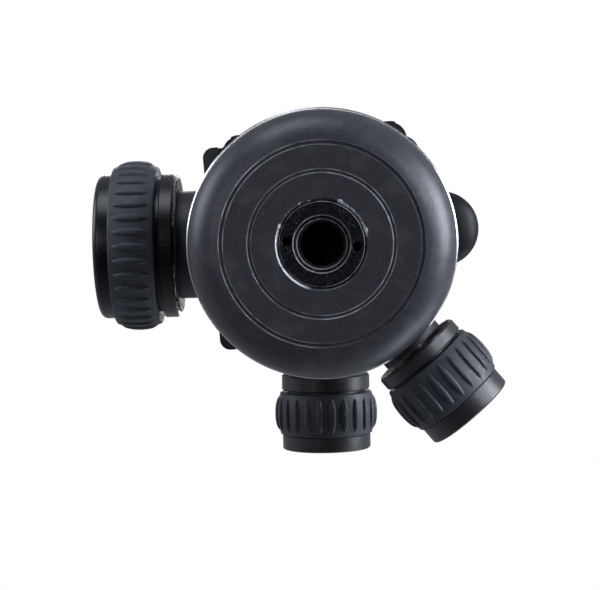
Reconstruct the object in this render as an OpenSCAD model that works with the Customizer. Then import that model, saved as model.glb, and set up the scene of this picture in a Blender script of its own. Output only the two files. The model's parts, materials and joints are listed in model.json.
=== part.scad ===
// Ball head with a panning base, a drop slot and a screw clamp for a quick-release plate.
// Frame: +Z is the pan axis, pointing up. The origin is the centre of the base's underside.
// Angles about +Z are measured from +X, the direction of the main lock knob.

/* [Base] */
// Diameter of the base disc
base_d = 50; // [49:0.5:51]
// Thickness of the base disc
base_t = 8; // [8:0.1:8.2]
// Radius of the flat part of the underside
foot_r = 18; // [17:0.5:19]
// Minor radius of the 3/8 inch thread
tripod_thread_r = 4; // [3.9:0.05:4.1]

/* [Ball] */
// Diameter of the ball
ball_d = 38; // [37.8:0.1:38]
// Height of the ball's centre
ball_z = 48; // [48:0.1:48.4]
// Diameter of the stem above the ball
stem_d = 12; // [11:0.5:12]

/* [Housing] */
// Diameter of the housing
housing_d = 47.2; // [46.8:0.2:47.6]
// Diameter of the pan scale ring
scale_d = 50.8; // [50.6:0.2:51.6]
// Width of the drop slot
slot_w = 13.4; // [13.2:0.1:13.8]

/* [Main lock knob] */
// Diameter of the rubber grip
main_grip_d = 33.6; // [32:0.4:34.4]
// Height of the knob's axis
main_z = 40; // [39.9:0.1:40.2]
// Distance from the pan axis to the knob's end
main_end = 45.4; // [44.8:0.2:46]

/* [Small knobs] */
// Diameter of the rubber grips
small_grip_d = 20; // [19.2:0.2:20.8]
// Distance from the pan axis to the friction knob's end
friction_end = 42.4; // [41.8:0.2:43]
// Distance from the pan axis to the pan lock knob's end
pan_end = 43.2; // [42.8:0.2:44]
// Direction of the friction knob
friction_angle = -90; // [-92:1:-88]
// Direction of the pan lock knob
pan_angle = -130; // [-134:1:-126]
// Height of the pan lock knob's axis
pan_z = 17; // [17:0.1:17.2]

/* [Clamp and plate] */
// Height of the clamp's underside
clamp_z = 78; // [77.8:0.1:78]
// Length of the clamp
clamp_len = 47.4; // [46:0.2:49]
// Turn of the clamp about the stem
clamp_turn = -4; // [-10:1:10]
// Length of the camera plate
plate_len = 51.4; // [50:0.2:52]
// Width of the camera plate's top
plate_w = 43; // [42:0.5:44]

/* [Hidden] */

$fn = 96;
cut = 1;                       // how far a cutting solid runs past a face
fit = 0.05;                    // radial clearance of a running fit

// base
base_r = base_d / 2;
edge_r = 7;                    // rounding of the base disc's rim
edge_z = base_t - 1;           // height of the widest part of the base disc
recess_r = 8.1;                // recess for the thread insert
recess_deep = 3.3;
recess_chamfer = 0.45;
insert_face_z = 0.1;
insert_r = 7.85;
barrel_r = 6.95;
insert_top = 15;
thread_mouth = 0.6;            // depth of the thread's lead-in
thread_end = 12.7;
pin_hole_r = 0.9;              // spanner holes
pin_hole_pcd = 12.83;
pin_hole_deep = 3;
pin_hole_turn = 5.3;
spindle_r = 10.5;
spindle_bore_r = 7;
floor_z = 8.6;                 // underside of the housing
floor_top = 20.8;              // top of the housing's floor
ring_z = floor_top + 0.5;      // underside of the retaining ring
ring_top = ring_z + 2.2;
stub_r = 9;
glide_in = 14;
glide_out = 20;
glide_sink = 0.5;

// ball and housing
ball_r = ball_d / 2;
seat_gap = 0.05;               // between the ball and what it rubs on
housing_r = housing_d / 2;
cavity_r = 19.4;
well_r = 14;                   // well round the retaining ring
shelf_z = 24;                  // shelf that the cup's spring washer sits on
skirt_z = 45.2;                // underside of the collar's skirt
thread_r = 20.4;               // thread between housing and collar
housing_top = 52;
collar_top = 57.6;
collar_r = 23.2;
collar_screw_z = 54;
collar_screw_r = 1.25;
ring_pocket_r = 12.8;          // outer radius of the retaining ring and its wave washer
stem_r = stem_d / 2;
slot_r = slot_w / 2;
scale_in = 22.4;
scale_top = 10.4;

// knobs: every u is a distance from the pan axis along the knob's own axis
boss_from = 15;                // the bosses start inside the wall
main_boss_r = 11;
main_boss_end = 29;
main_bore_from = 12;           // inner end of the bore for the shoe
main_shoe_r = 4.5;
main_shoe_end = 21;
main_bush_r = 6;
main_bush_from = 21.6;
main_screw_r = 4;
dust_disc_t = 0.3;
dust_disc_r = 13.7;
main_flange_r = 14.8;
main_flange = main_boss_end + 0.5;
main_neck = main_flange + 2.85;
main_grip_from = main_neck + 0.85;
main_sleeve_r = 13.5;
main_sleeve_end = main_end - 3.2;
main_spigot_r = 9;
main_spigot = main_sleeve_end - 3;
small_boss_r = 6.5;
small_boss_end = 26.4;
small_bush_r = 4.5;
small_screw_r = 3;
small_flange_r = 9;
small_flange = small_boss_end + 0.6;
friction_neck = small_flange + 3.2;
pan_neck = small_flange + 2.6;
small_sleeve_r = 7.9;
friction_cap_from = friction_end - 3.1;
pan_cap_from = pan_end - 3.6;
small_spigot_r = 5.5;
small_spigot_long = 1.7;
friction_pad_r = 3.5;
friction_pad_end = 20.5;
friction_bush_from = 21;
pan_bore_from = 9;
pan_shoe_r = 3;
pan_shoe_end = 14;
pan_bush_from = 17;

// clamp and plate, in the clamp's own frame
clamp_left = -19.4;
clamp_right = 22;
clamp_floor = clamp_z + 6;
jaw_bottom = clamp_z + 0.6;
jaw_top = clamp_z + 9.6;
jaw_out = 25.5;
slide_out = -23.5;
fixed_jaw_inset = 0.6;         // how much shorter a jaw is than the clamp, at each end
sliding_jaw_inset = 1.8;
screw_y = 13;                  // the fixed jaw's two screws
screw_z = clamp_z + 3.3;
jaw_screw_r = 1.25;
screw_head_r = 2.3;
screw_head_from = jaw_out - 1.7;
dove_w = 19;                   // half width of the dovetail's foot
dove_neck = 17.4;
dove_gap = 0.1;
plate_z = clamp_floor + 0.1;
plate_slab_z = clamp_z + 10;
plate_top = clamp_z + 13;
pad_top = plate_top + 1;
bolt_z = clamp_z + 3;          // height of the drawbolt and guide pins
bolt_r = 2;
bolt_from = 8;
pin_r = 1.5;
pin_y = 15;
pin_from = 13;
nut_r = 3.2;
nut_from = 24.6;
nut_end = 33;
puck_x = -27;                  // centre of the clamp knob's round outline
puck_r = 8.6;
puck_h = 9;
stud_r = 3.175;                // 1/4 inch camera thread

black_anodised = [0.10, 0.10, 0.11];
dark_grey = [0.20, 0.20, 0.22];
rubber_black = [0.07, 0.07, 0.08];
steel = [0.62, 0.63, 0.65];
brass = [0.72, 0.58, 0.30];
nylon = [0.85, 0.84, 0.80];

// ---------- helpers ----------

// Turns local +Z to the outward direction of a knob at this angle and height.
module outward(angle, z) {
    translate([0, 0, z])
        rotate([0, 0, angle])
            rotate([0, 90, 0])
                children();
}

module on_clamp() {
    rotate([0, 0, clamp_turn])
        children();
}

// Turns local +Z to the clamp's -X direction, through the drawbolt's axis.
module along_drawbolt(y = 0) {
    translate([0, y, bolt_z])
        rotate([0, -90, 0])
            children();
}

// Turns local +Z to the outward direction of the collar's set screw.
module along_set_screw() {
    outward(180, collar_screw_z)
        children();
}

module rod(r, from, to) {
    translate([0, 0, from])
        cylinder(r = r, h = to - from);
}

module tube(r_out, r_in, from, to) {
    difference() {
        rod(r_out, from, to);
        rod(r_in, from - cut, to + cut);
    }
}

module ball_space(gap) {
    translate([0, 0, ball_z])
        sphere(r = ball_r + gap, $fn = 128);
}

// U-shaped opening on the +Y side that lets the stem drop to the horizontal.
module drop_slot() {
    slot_long = 40;
    translate([0, 0, ball_z])
        rotate([-90, 0, 0])
            cylinder(r = slot_r, h = slot_long);
    translate([-slot_r, 0, ball_z])
        cube([slot_w, slot_long, slot_long]);
}

// Groove with sloping sides, cut into a flat underside at radius r.
module ring_groove(r, half_mouth, half_floor, deep) {
    polygon([
        [r - half_mouth, -fit], [r - half_floor, deep],
        [r + half_floor, deep], [r + half_mouth, -fit]
    ]);
}

module rounded_outline(x_from, x_to, half_y, r) {
    translate([x_from + r, -half_y])
        square([x_to - x_from - 2 * r, 2 * half_y]);
    translate([x_from, -half_y + r])
        square([x_to - x_from, 2 * half_y - 2 * r]);
    for (x = [x_from + r, x_to - r])
        for (y = [-half_y + r, half_y - r])
            translate([x, y])
                circle(r = r, $fn = 48);
}

// An X-Z outline, run along Y for the whole length and centred on it.
module run_along_y(length) {
    translate([0, length / 2, 0])
        rotate([90, 0, 0])
            linear_extrude(length)
                children();
}

// ---------- base ----------

module base_disc() {
    groove_r = foot_r + 0.5;
    inner_groove_r = 13.33;
    color(black_anodised)
        rotate_extrude($fn = 180)
            difference() {
                intersection() {
                    union() {
                        square([foot_r, base_t]);
                        translate([base_r - edge_r, edge_z])
                            circle(r = edge_r);
                    }
                    square([base_r, base_t]);
                }
                translate([0, -cut])
                    square([spindle_bore_r, base_t + 2 * cut]);
                translate([0, -cut])
                    square([recess_r, recess_deep + cut]);
                polygon([
                    [recess_r - fit, -fit], [recess_r + recess_chamfer, -fit],
                    [recess_r - fit, recess_chamfer]
                ]);
                ring_groove(groove_r, 0.42, 0.2, 0.3);
                ring_groove(inner_groove_r, 0.38, 0.14, 0.22);
                translate([glide_in, base_t - glide_sink])
                    square([glide_out - glide_in, glide_sink + cut]);
            }
}

module thread_insert() {
    mouth_r = tripod_thread_r + 1.2;
    color(dark_grey)
        difference() {
            union() {
                rod(insert_r, insert_face_z, recess_deep);
                rod(barrel_r, recess_deep, insert_top);
            }
            rod(tripod_thread_r, -cut, thread_end);
            translate([0, 0, insert_face_z])
                cylinder(r1 = mouth_r, r2 = tripod_thread_r, h = thread_mouth);
            for (side = [-1, 1])
                rotate([0, 0, pin_hole_turn])
                    translate([side * pin_hole_pcd / 2, 0, 0])
                        rod(pin_hole_r, -cut, insert_face_z + pin_hole_deep);
        }
}

module pan_spindle() {
    groove_deep = 1.2;
    groove_floor = 1;
    groove_mouth = 2.5;
    bore_top = insert_top + 0.2;
    color(steel)
        difference() {
            union() {
                rod(spindle_r, base_t, ring_z);
                rod(stub_r, ring_z, ring_top);
            }
            rod(spindle_bore_r, base_t - cut, bore_top);
            rotate_extrude()
                polygon([
                    [spindle_r + fit, pan_z - groove_mouth],
                    [spindle_r - groove_deep, pan_z - groove_floor],
                    [spindle_r - groove_deep, pan_z + groove_floor],
                    [spindle_r + fit, pan_z + groove_mouth]
                ]);
        }
}

module pan_retaining_ring() {
    notch = [2, 30, 1];
    color(steel)
        difference() {
            tube(ring_pocket_r, stub_r, ring_z, ring_top);
            for (turn = [0, 90])
                rotate([0, 0, turn])
                    translate([-notch[0] / 2, -notch[1] / 2, ring_top - notch[2]])
                        cube(notch);
        }
}

module pan_glide_ring() {
    color(nylon)
        tube(glide_out, glide_in, base_t - glide_sink, floor_z);
}

// ---------- housing ----------

module housing_outside() {
    shoulder_r = 24.8;
    shoulder_top = 13.2;
    waist_z = 14.6;
    lip = 0.7;
    rotate_extrude($fn = 180)
        polygon([
            [0, floor_z], [scale_in, floor_z], [scale_in, scale_top],
            [shoulder_r, scale_top], [shoulder_r, shoulder_top],
            [housing_r, waist_z], [housing_r, housing_top - lip],
            [housing_r - lip, housing_top], [0, housing_top]
        ]);
}

module housing() {
    color(dark_grey)
        difference() {
            union() {
                housing_outside();
                outward(0, main_z)
                    rod(main_boss_r, boss_from, main_boss_end);
                outward(friction_angle, main_z)
                    rod(small_boss_r, boss_from, small_boss_end);
                outward(pan_angle, pan_z)
                    rod(small_boss_r, boss_from, small_boss_end);
            }
            rod(spindle_r + fit, 0, floor_top + cut);
            rod(well_r, floor_top, shelf_z + cut);
            rod(cavity_r, shelf_z, housing_top + cut);
            rod(thread_r, skirt_z, housing_top + cut);
            drop_slot();
            outward(0, main_z) {
                rod(main_shoe_r + fit, main_bore_from, main_bush_from);
                rod(main_bush_r, main_bush_from, main_boss_end + cut);
            }
            outward(friction_angle, main_z) {
                rod(friction_pad_r + fit, main_bore_from, friction_bush_from);
                rod(small_bush_r, friction_bush_from, small_boss_end + cut);
            }
            outward(pan_angle, pan_z) {
                rod(pan_shoe_r + fit, pan_bore_from, pan_bush_from);
                rod(small_bush_r, pan_bush_from, small_boss_end + cut);
            }
        }
}

module scale_ring() {
    bevel = 0.5;
    scale_r = scale_d / 2;
    color(steel)
        rotate_extrude($fn = 180)
            polygon([
                [scale_in, floor_z], [scale_r - bevel, floor_z], [scale_r, floor_z + bevel],
                [scale_r, scale_top - fit], [scale_in, scale_top - fit]
            ]);
}

module pan_wave_washer() {
    color(steel)
        tube(ring_pocket_r, spindle_r + 0.3, floor_top, ring_z);
}

module lower_ball_cup() {
    color(nylon)
        difference() {
            tube(cavity_r - 0.1, 7, shelf_z + 1.2, 34);
            ball_space(seat_gap);
        }
}

module cup_spring_washer() {
    color(steel)
        rotate_extrude()
            polygon([[14.6, 24], [14.6, 24.4], [19.1, 25.2], [19.1, 24.8]]);
}

module upper_ball_seat() {
    pocket_r = 19.65;
    color(brass)
        difference() {
            tube(pocket_r, 17, 49.5, 55.4);
            ball_space(seat_gap);
            drop_slot();
        }
}

module collar() {
    skirt_in = 19.3;
    pocket_r = 19.7;
    grooves = 2;
    color(black_anodised)
        difference() {
            rotate_extrude($fn = 180)
                difference() {
                    polygon([
                        [skirt_in, skirt_z], [thread_r - 0.02, skirt_z],
                        [thread_r - 0.02, housing_top], [collar_r, housing_top],
                        [collar_r, collar_top - 1.2], [collar_r - 1.4, collar_top],
                        [17, collar_top], [16.9, collar_top - 0.3], [skirt_in, 52]
                    ]);
                    translate([0, 49.5])
                        square([pocket_r, 6]);
                    for (i = [0 : grooves - 1])
                        translate([collar_r - 0.3, housing_top + 1.2 + 1.4 * i])
                            square([1, 0.5]);
                }
            ball_space(2 * seat_gap);
            drop_slot();
            along_set_screw()
                rod(collar_screw_r, 18, 26);
        }
}

module collar_set_screw() {
    color(steel)
        along_set_screw()
            difference() {
                rod(collar_screw_r, 19.9, 22.9);
                translate([0, 0, 21.7])
                    cylinder(r = 0.7, h = 3, $fn = 6);
            }
}

module main_bush() {
    color(brass)
        outward(0, main_z)
            tube(main_bush_r, main_screw_r, main_bush_from, main_boss_end);
}

module friction_bush() {
    color(brass)
        outward(friction_angle, main_z)
            tube(small_bush_r, small_screw_r, friction_bush_from, small_boss_end);
}

module pan_bush() {
    color(brass)
        outward(pan_angle, pan_z)
            tube(small_bush_r, small_screw_r, pan_bush_from, small_boss_end);
}

module main_dust_disc() {
    color(black_anodised)
        outward(0, main_z)
            tube(dust_disc_r, main_screw_r + 0.3, main_boss_end,
                main_boss_end + dust_disc_t);
}

// ---------- ball ----------

module ball() {
    color(steel)
        translate([0, 0, ball_z])
            sphere(r = ball_r, $fn = 128);
}

module ball_stem() {
    cove_r = 3.6;
    cove_z = clamp_z - 5.8;
    flange_r = 13;
    color(steel)
        difference() {
            rotate_extrude()
                difference() {
                    union() {
                        translate([0, ball_z + 12])
                            square([stem_r, clamp_z - ball_z - 12]);
                        translate([0, cove_z])
                            square([flange_r, clamp_z - cove_z]);
                    }
                    translate([stem_r + cove_r, cove_z])
                        circle(r = cove_r);
                    translate([stem_r + cove_r, cove_z - cut])
                        square([flange_r, cove_r + cut]);
                }
            ball_space(0.03);
            rod(3.05, 68.4, clamp_z + cut);
        }
}

// ---------- knobs ----------

// The grip's crown is an arc that stands this much higher at its middle.
module grip_ring(r_mid, r_in, crown, from, to) {
    long = to - from;
    arc_r = long * long / (8 * crown) + crown / 2;
    rotate_extrude()
        intersection() {
            translate([r_in, from])
                square([r_mid - r_in + cut, long]);
            translate([r_mid - arc_r, (from + to) / 2])
                circle(r = arc_r, $fn = 180);
        }
}

// Flange, a narrow neck behind it, and the sleeve that carries the rubber grip.
module knob_core(flange_r, sleeve_r, bore_r, spigot_r, flange, neck, sleeve_end, spigot) {
    edge = 0.4;
    neck_r = sleeve_r + 0.1;
    difference() {
        rotate_extrude()
            polygon([
                [0, flange], [flange_r - edge, flange], [flange_r, flange + edge],
                [flange_r, neck - edge / 2], [flange_r - edge / 2, neck],
                [neck_r, neck], [neck_r, neck + edge], [sleeve_r, neck + edge],
                [sleeve_r, sleeve_end], [0, sleeve_end]
            ]);
        rod(bore_r, flange - cut, sleeve_end + cut);
        rod(spigot_r, spigot, sleeve_end + cut);
    }
}

// End cap with a rounded rim and a spigot that sits in the core.
module knob_cap(r, rim, spigot_r, spigot, from, to) {
    rotate_extrude() {
        translate([0, from])
            square([r, to - from - rim]);
        translate([0, from])
            square([r - rim, to - from]);
        translate([r - rim, to - rim])
            circle(r = rim, $fn = 48);
    }
    rod(spigot_r, spigot, from);
}

module main_shoe() {
    color(brass)
        difference() {
            outward(0, main_z)
                rod(main_shoe_r, 15.8, main_shoe_end);
            ball_space(seat_gap);
        }
}

module main_screw() {
    color(steel)
        outward(0, main_z)
            rod(main_screw_r - fit, main_shoe_end, main_spigot);
}

module main_knob_core() {
    color(black_anodised)
        outward(0, main_z)
            knob_core(main_flange_r, main_sleeve_r, main_screw_r - fit, main_spigot_r,
                main_flange, main_neck, main_sleeve_end, main_spigot);
}

module main_knob_grip() {
    color(rubber_black)
        outward(0, main_z)
            grip_ring(main_grip_d / 2, main_sleeve_r, 0.8, main_grip_from, main_sleeve_end);
}

module main_knob_cap() {
    color(black_anodised)
        outward(0, main_z)
            knob_cap(main_flange_r, 1.3, main_spigot_r, main_spigot, main_sleeve_end,
                main_end);
}

module small_screw(from, cap_from) {
    rod(small_screw_r - fit, from, cap_from - small_spigot_long);
}

module small_core(neck, cap_from) {
    knob_core(small_flange_r, small_sleeve_r, small_screw_r - fit, small_spigot_r,
        small_flange, neck, cap_from, cap_from - small_spigot_long);
}

module small_grip(neck, cap_from) {
    grip_ring(small_grip_d / 2, small_sleeve_r, 0.7, neck + 0.45, cap_from);
}

module small_cap(cap_from, end) {
    knob_cap(small_flange_r, 0.6, small_spigot_r, cap_from - small_spigot_long,
        cap_from, end);
}

module friction_pad() {
    color(nylon)
        difference() {
            outward(friction_angle, main_z)
                rod(friction_pad_r, 16, friction_pad_end);
            ball_space(seat_gap);
        }
}

module friction_screw() {
    color(steel)
        outward(friction_angle, main_z)
            small_screw(friction_pad_end, friction_cap_from);
}

module friction_knob_core() {
    color(black_anodised)
        outward(friction_angle, main_z)
            small_core(friction_neck, friction_cap_from);
}

module friction_knob_grip() {
    color(rubber_black)
        outward(friction_angle, main_z)
            small_grip(friction_neck, friction_cap_from);
}

module friction_knob_cap() {
    color(black_anodised)
        outward(friction_angle, main_z)
            small_cap(friction_cap_from, friction_end);
}

module pan_shoe() {
    nose_from = 9.4;
    nose_end = 11;
    color(brass)
        outward(pan_angle, pan_z) {
            rod(pan_shoe_r, nose_end, pan_shoe_end);
            translate([0, 0, nose_from])
                cylinder(r1 = 1, r2 = pan_shoe_r, h = nose_end - nose_from);
        }
}

module pan_screw() {
    color(steel)
        outward(pan_angle, pan_z)
            small_screw(pan_shoe_end, pan_cap_from);
}

module pan_knob_core() {
    color(black_anodised)
        outward(pan_angle, pan_z)
            small_core(pan_neck, pan_cap_from);
}

module pan_knob_grip() {
    color(rubber_black)
        outward(pan_angle, pan_z)
            small_grip(pan_neck, pan_cap_from);
}

module pan_knob_cap() {
    color(black_anodised)
        outward(pan_angle, pan_z)
            small_cap(pan_cap_from, pan_end);
}

// ---------- clamp ----------

// Turns local +Z to the clamp's +X direction, through both of the fixed jaw's screws.
module along_jaw_screws() {
    for (y = [-screw_y, screw_y])
        translate([0, y, screw_z])
            rotate([0, 90, 0])
                children();
}

module clamp_body() {
    spring_well_r = 3.3;
    color(dark_grey)
        on_clamp()
            difference() {
                translate([0, 0, clamp_z])
                    linear_extrude(clamp_floor - clamp_z)
                        rounded_outline(clamp_left, clamp_right, clamp_len / 2, 3.5);
                rod(5.2, clamp_z + 2.6, clamp_floor + cut);
                rod(3.05, clamp_z - cut, clamp_floor);
                along_drawbolt() {
                    rod(bolt_r, bolt_from, 30);
                    rod(spring_well_r, pin_from, 30);
                }
                for (y = [-pin_y, pin_y])
                    along_drawbolt(y)
                        rod(pin_r, pin_from, 30);
                along_jaw_screws()
                    rod(jaw_screw_r, 14, 30);
            }
}

module clamp_screw() {
    color(steel)
        difference() {
            union() {
                rod(3, 68.6, clamp_z + 2.6);
                rod(5, clamp_z + 2.6, clamp_z + 5.8);
            }
            translate([0, 0, clamp_z + 3.6])
                cylinder(r = 2.9, h = 4, $fn = 6);
        }
}

module fixed_jaw() {
    color(black_anodised)
        on_clamp()
            difference() {
                intersection() {
                    run_along_y(clamp_len - 2 * fixed_jaw_inset)
                        polygon([
                            [jaw_out, jaw_bottom], [jaw_out, jaw_top - 0.7],
                            [jaw_out - 0.7, jaw_top], [dove_neck + dove_gap, jaw_top],
                            [dove_neck + dove_gap, jaw_top - 0.35],
                            [dove_w + dove_gap, jaw_top - 1.95],
                            [dove_w + dove_gap, clamp_floor],
                            [clamp_right, clamp_floor], [clamp_right, jaw_bottom]
                        ]);
                    translate([0, 0, clamp_z])
                        linear_extrude(20)
                            rounded_outline(0, jaw_out, clamp_len / 2 - fixed_jaw_inset, 2.4);
                }
                along_jaw_screws() {
                    rod(jaw_screw_r, 14, 30);
                    rod(screw_head_r + 0.1, screw_head_from, 30);
                }
            }
}

module jaw_screws() {
    color(steel)
        on_clamp()
            along_jaw_screws()
                difference() {
                    union() {
                        rod(jaw_screw_r, 15, screw_head_from);
                        rod(screw_head_r, screw_head_from, jaw_out - 0.1);
                    }
                    translate([0, 0, screw_head_from + 0.6])
                        cylinder(r = 1.3, h = 3, $fn = 6);
                }
}

module sliding_jaw() {
    gap = 0.2;
    color(black_anodised)
        on_clamp()
            difference() {
                intersection() {
                    run_along_y(clamp_len - 2 * sliding_jaw_inset)
                        polygon([
                            [slide_out, jaw_bottom], [slide_out, jaw_top - 0.7],
                            [slide_out + 0.7, jaw_top], [-dove_neck - dove_gap, jaw_top],
                            [-dove_neck - dove_gap, jaw_top - 0.35],
                            [-dove_w - dove_gap, jaw_top - 1.95],
                            [-dove_w - dove_gap, clamp_floor + fit],
                            [clamp_left - gap, clamp_floor + fit],
                            [clamp_left - gap, jaw_bottom]
                        ]);
                    translate([0, 0, clamp_z])
                        linear_extrude(20)
                            rounded_outline(slide_out, 0, clamp_len / 2 - sliding_jaw_inset, 4);
                }
                along_drawbolt()
                    rod(bolt_r + 0.1, 15, 30);
                for (y = [-pin_y, pin_y])
                    along_drawbolt(y)
                        rod(pin_r + fit, 15, 30);
            }
}

module drawbolt() {
    color(steel)
        on_clamp()
            along_drawbolt()
                rod(bolt_r, bolt_from, 32.5);
}

module guide_pins() {
    color(steel)
        on_clamp()
            for (y = [-pin_y, pin_y])
                along_drawbolt(y)
                    rod(pin_r, pin_from, 23);
}

// Points of one cross-section of the spring's wire, at a turn angle along the helix.
function wire_ring(angle, coil_r, wire_r, z) = [
    for (k = [0 : 7])
        let (a = 45 * k, r = coil_r + wire_r * cos(a))
            [r * cos(angle), r * sin(angle), z + wire_r * sin(a)]
];

module spring_coil(coil_r, wire_r, long, turns) {
    steps = 20;
    rings = turns * steps;
    rise = long - 2 * wire_r;
    points = [
        for (i = [0 : rings])
            each wire_ring(360 * i / steps, coil_r, wire_r, wire_r + rise * i / rings)
    ];
    sides = [
        for (i = [0 : rings - 1])
            for (k = [0 : 7])
                let (next = (k + 1) % 8)
                    [8 * i + k, 8 * i + 8 + k, 8 * i + 8 + next, 8 * i + next]
    ];
    first_end = [for (k = [0 : 7]) k];
    last_end = [for (k = [7 : -1 : 0]) 8 * rings + k];
    polyhedron(points = points, faces = concat(sides, [first_end], [last_end]));
}

module jaw_spring() {
    color(steel)
        on_clamp()
            along_drawbolt()
                translate([0, 0, 13.02])
                    spring_coil(2.7, 0.35, 6.5, 5);
}

module clamp_knob() {
    hub_r = 5;
    hub_from = 23.55;
    hub_to = 26;
    puck_from = 24.4;
    color(rubber_black)
        on_clamp()
            difference() {
                union() {
                    along_drawbolt()
                        rod(hub_r, hub_from, hub_to);
                    intersection() {
                        translate([puck_x, 0, bolt_z - puck_h / 2])
                            cylinder(r = puck_r, h = puck_h);
                        translate([puck_x, 0, bolt_z])
                            sphere(r = puck_r + 0.5);
                        along_drawbolt()
                            rod(3 * puck_r, puck_from, 60);
                    }
                }
                along_drawbolt() {
                    rod(bolt_r + fit, hub_from - cut, 25);
                    rod(nut_r, nut_from, nut_end + 0.2);
                }
            }
}

module clamp_knob_nut() {
    color(brass)
        on_clamp()
            along_drawbolt()
                tube(nut_r, bolt_r + fit, nut_from, nut_end);
}

// ---------- camera plate ----------

module camera_plate() {
    half = plate_w / 2;
    color(black_anodised)
        on_clamp()
            difference() {
                intersection() {
                    run_along_y(plate_len)
                        polygon([
                            [-dove_w, plate_z], [dove_w, plate_z],
                            [dove_w, jaw_top - 2], [dove_neck, jaw_top - 0.4],
                            [dove_neck, plate_slab_z], [half, plate_slab_z],
                            [half, plate_top], [-half, plate_top],
                            [-half, plate_slab_z], [-dove_neck, plate_slab_z],
                            [-dove_neck, jaw_top - 0.4], [-dove_w, jaw_top - 2]
                        ]);
                    translate([0, 0, clamp_z])
                        linear_extrude(20)
                            rounded_outline(-half, half, plate_len / 2, 4);
                }
                rod(9.2, plate_z - cut, plate_z + 3.5);
                rod(3.4, plate_z, plate_top + cut);
            }
}

module plate_pad() {
    color(rubber_black)
        on_clamp()
            difference() {
                translate([0, 0, plate_top])
                    linear_extrude(pad_top - plate_top)
                        rounded_outline(-20.2, 20.2, plate_len / 2 - 1.3, 3);
                rod(5, plate_top - cut, pad_top + cut);
            }
}

module screw_washer() {
    color(nylon)
        on_clamp()
            tube(5, 2.65, plate_z + 3.2, plate_z + 3.5);
}

module camera_screw() {
    head_z = plate_z + 0.8;
    neck_z = plate_z + 3.2;
    thread_z = plate_top + 0.5;
    tip_z = pad_top + 5;
    tip = 0.5;
    color(steel)
        difference() {
            union() {
                rod(8.2, head_z, neck_z);
                rod(2.6, neck_z, thread_z);
                rod(stud_r, thread_z, tip_z - tip);
                translate([0, 0, tip_z - tip])
                    cylinder(r1 = stud_r, r2 = stud_r - tip, h = tip);
            }
            translate([-10, -0.8, head_z - cut])
                cube([20, 1.6, cut + 1]);
        }
}

base_disc();
thread_insert();
pan_spindle();
pan_retaining_ring();
pan_glide_ring();
housing();
scale_ring();
pan_wave_washer();
lower_ball_cup();
cup_spring_washer();
upper_ball_seat();
collar();
collar_set_screw();
main_bush();
friction_bush();
pan_bush();
main_dust_disc();
ball();
ball_stem();
main_shoe();
main_screw();
main_knob_core();
main_knob_grip();
main_knob_cap();
friction_pad();
friction_screw();
friction_knob_core();
friction_knob_grip();
friction_knob_cap();
pan_shoe();
pan_screw();
pan_knob_core();
pan_knob_grip();
pan_knob_cap();
clamp_body();
clamp_screw();
fixed_jaw();
jaw_screws();
drawbolt();
guide_pins();
jaw_spring();
sliding_jaw();
clamp_knob();
clamp_knob_nut();
camera_plate();
plate_pad();
screw_washer();
camera_screw();
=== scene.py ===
"""Looks of a ball head with a panning base: materials, detailed pieces, light and camera.

Everything is in metres, in the CAD's frame. +Z is the pan axis, and the base's underside is at z = 0.
"""

import json
import math

import bmesh
import bpy
from mathutils import Matrix, Vector


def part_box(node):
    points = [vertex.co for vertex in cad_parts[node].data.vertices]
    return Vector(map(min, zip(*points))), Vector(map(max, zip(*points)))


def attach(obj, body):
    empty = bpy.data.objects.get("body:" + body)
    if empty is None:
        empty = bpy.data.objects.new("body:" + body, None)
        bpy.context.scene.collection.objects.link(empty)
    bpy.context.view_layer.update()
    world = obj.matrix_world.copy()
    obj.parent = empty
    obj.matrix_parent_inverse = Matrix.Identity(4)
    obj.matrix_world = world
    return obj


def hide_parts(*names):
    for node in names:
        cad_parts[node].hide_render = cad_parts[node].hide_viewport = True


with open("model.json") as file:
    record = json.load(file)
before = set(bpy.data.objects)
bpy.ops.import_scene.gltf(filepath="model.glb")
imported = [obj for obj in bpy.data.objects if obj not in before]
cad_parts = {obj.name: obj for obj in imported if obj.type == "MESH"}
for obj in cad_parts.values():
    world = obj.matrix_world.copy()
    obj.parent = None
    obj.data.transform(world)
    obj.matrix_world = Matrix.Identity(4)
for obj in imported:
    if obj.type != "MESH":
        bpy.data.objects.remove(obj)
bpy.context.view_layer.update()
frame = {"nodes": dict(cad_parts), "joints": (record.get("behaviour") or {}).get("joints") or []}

MM = 0.001
NODES = frame["nodes"]
JOINTS = {j["name"]: j for j in frame["joints"]}
SCENE = bpy.context.scene
UP = Vector((0, 0, 1))


# ---------- measuring the frame ----------


def points(node):
    return [v.co for v in NODES[node].data.vertices]


def top(node):
    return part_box(node)[1].z


def bottom(node):
    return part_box(node)[0].z


def circles(node, height, gap=0.3 * MM):
    """Radii of the circles round the pan axis that a node's corners under a height lie on."""
    radii = sorted(p.xy.length for p in points(node) if p.z < height)
    return [r for r, after in zip(radii, radii[1:] + [math.inf]) if after - r > gap]


class Axle:
    """A joint's axis, with places given as a distance along it, a radius and an angle."""

    def __init__(self, origin, direction):
        self.along = Vector(direction).normalized()
        zero = Vector((1, 0, 0)) if abs(self.along.z) > 0.9 else UP
        pos = Vector(origin)
        self.foot = pos - self.along * pos.dot(self.along)
        self.zero = (zero - self.along * zero.dot(self.along)).normalized()
        self.side = self.along.cross(self.zero)

    def at(self, u, r, angle):
        spoke = self.zero * math.cos(angle) + self.side * math.sin(angle)
        return self.foot + self.along * u + spoke * r

    def span(self, node):
        """Lowest and highest distance along the axis that a node reaches."""
        along = [p.dot(self.along) for p in points(node)]
        return min(along), max(along)

    def radii(self, node, low=-1e9, high=1e9):
        """Smallest and largest radius of a node's corners between two distances."""
        found = []
        for p in points(node):
            if low <= p.dot(self.along) <= high:
                away = p - self.foot
                found.append((away - self.along * away.dot(self.along)).length)
        return min(found), max(found)


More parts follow.
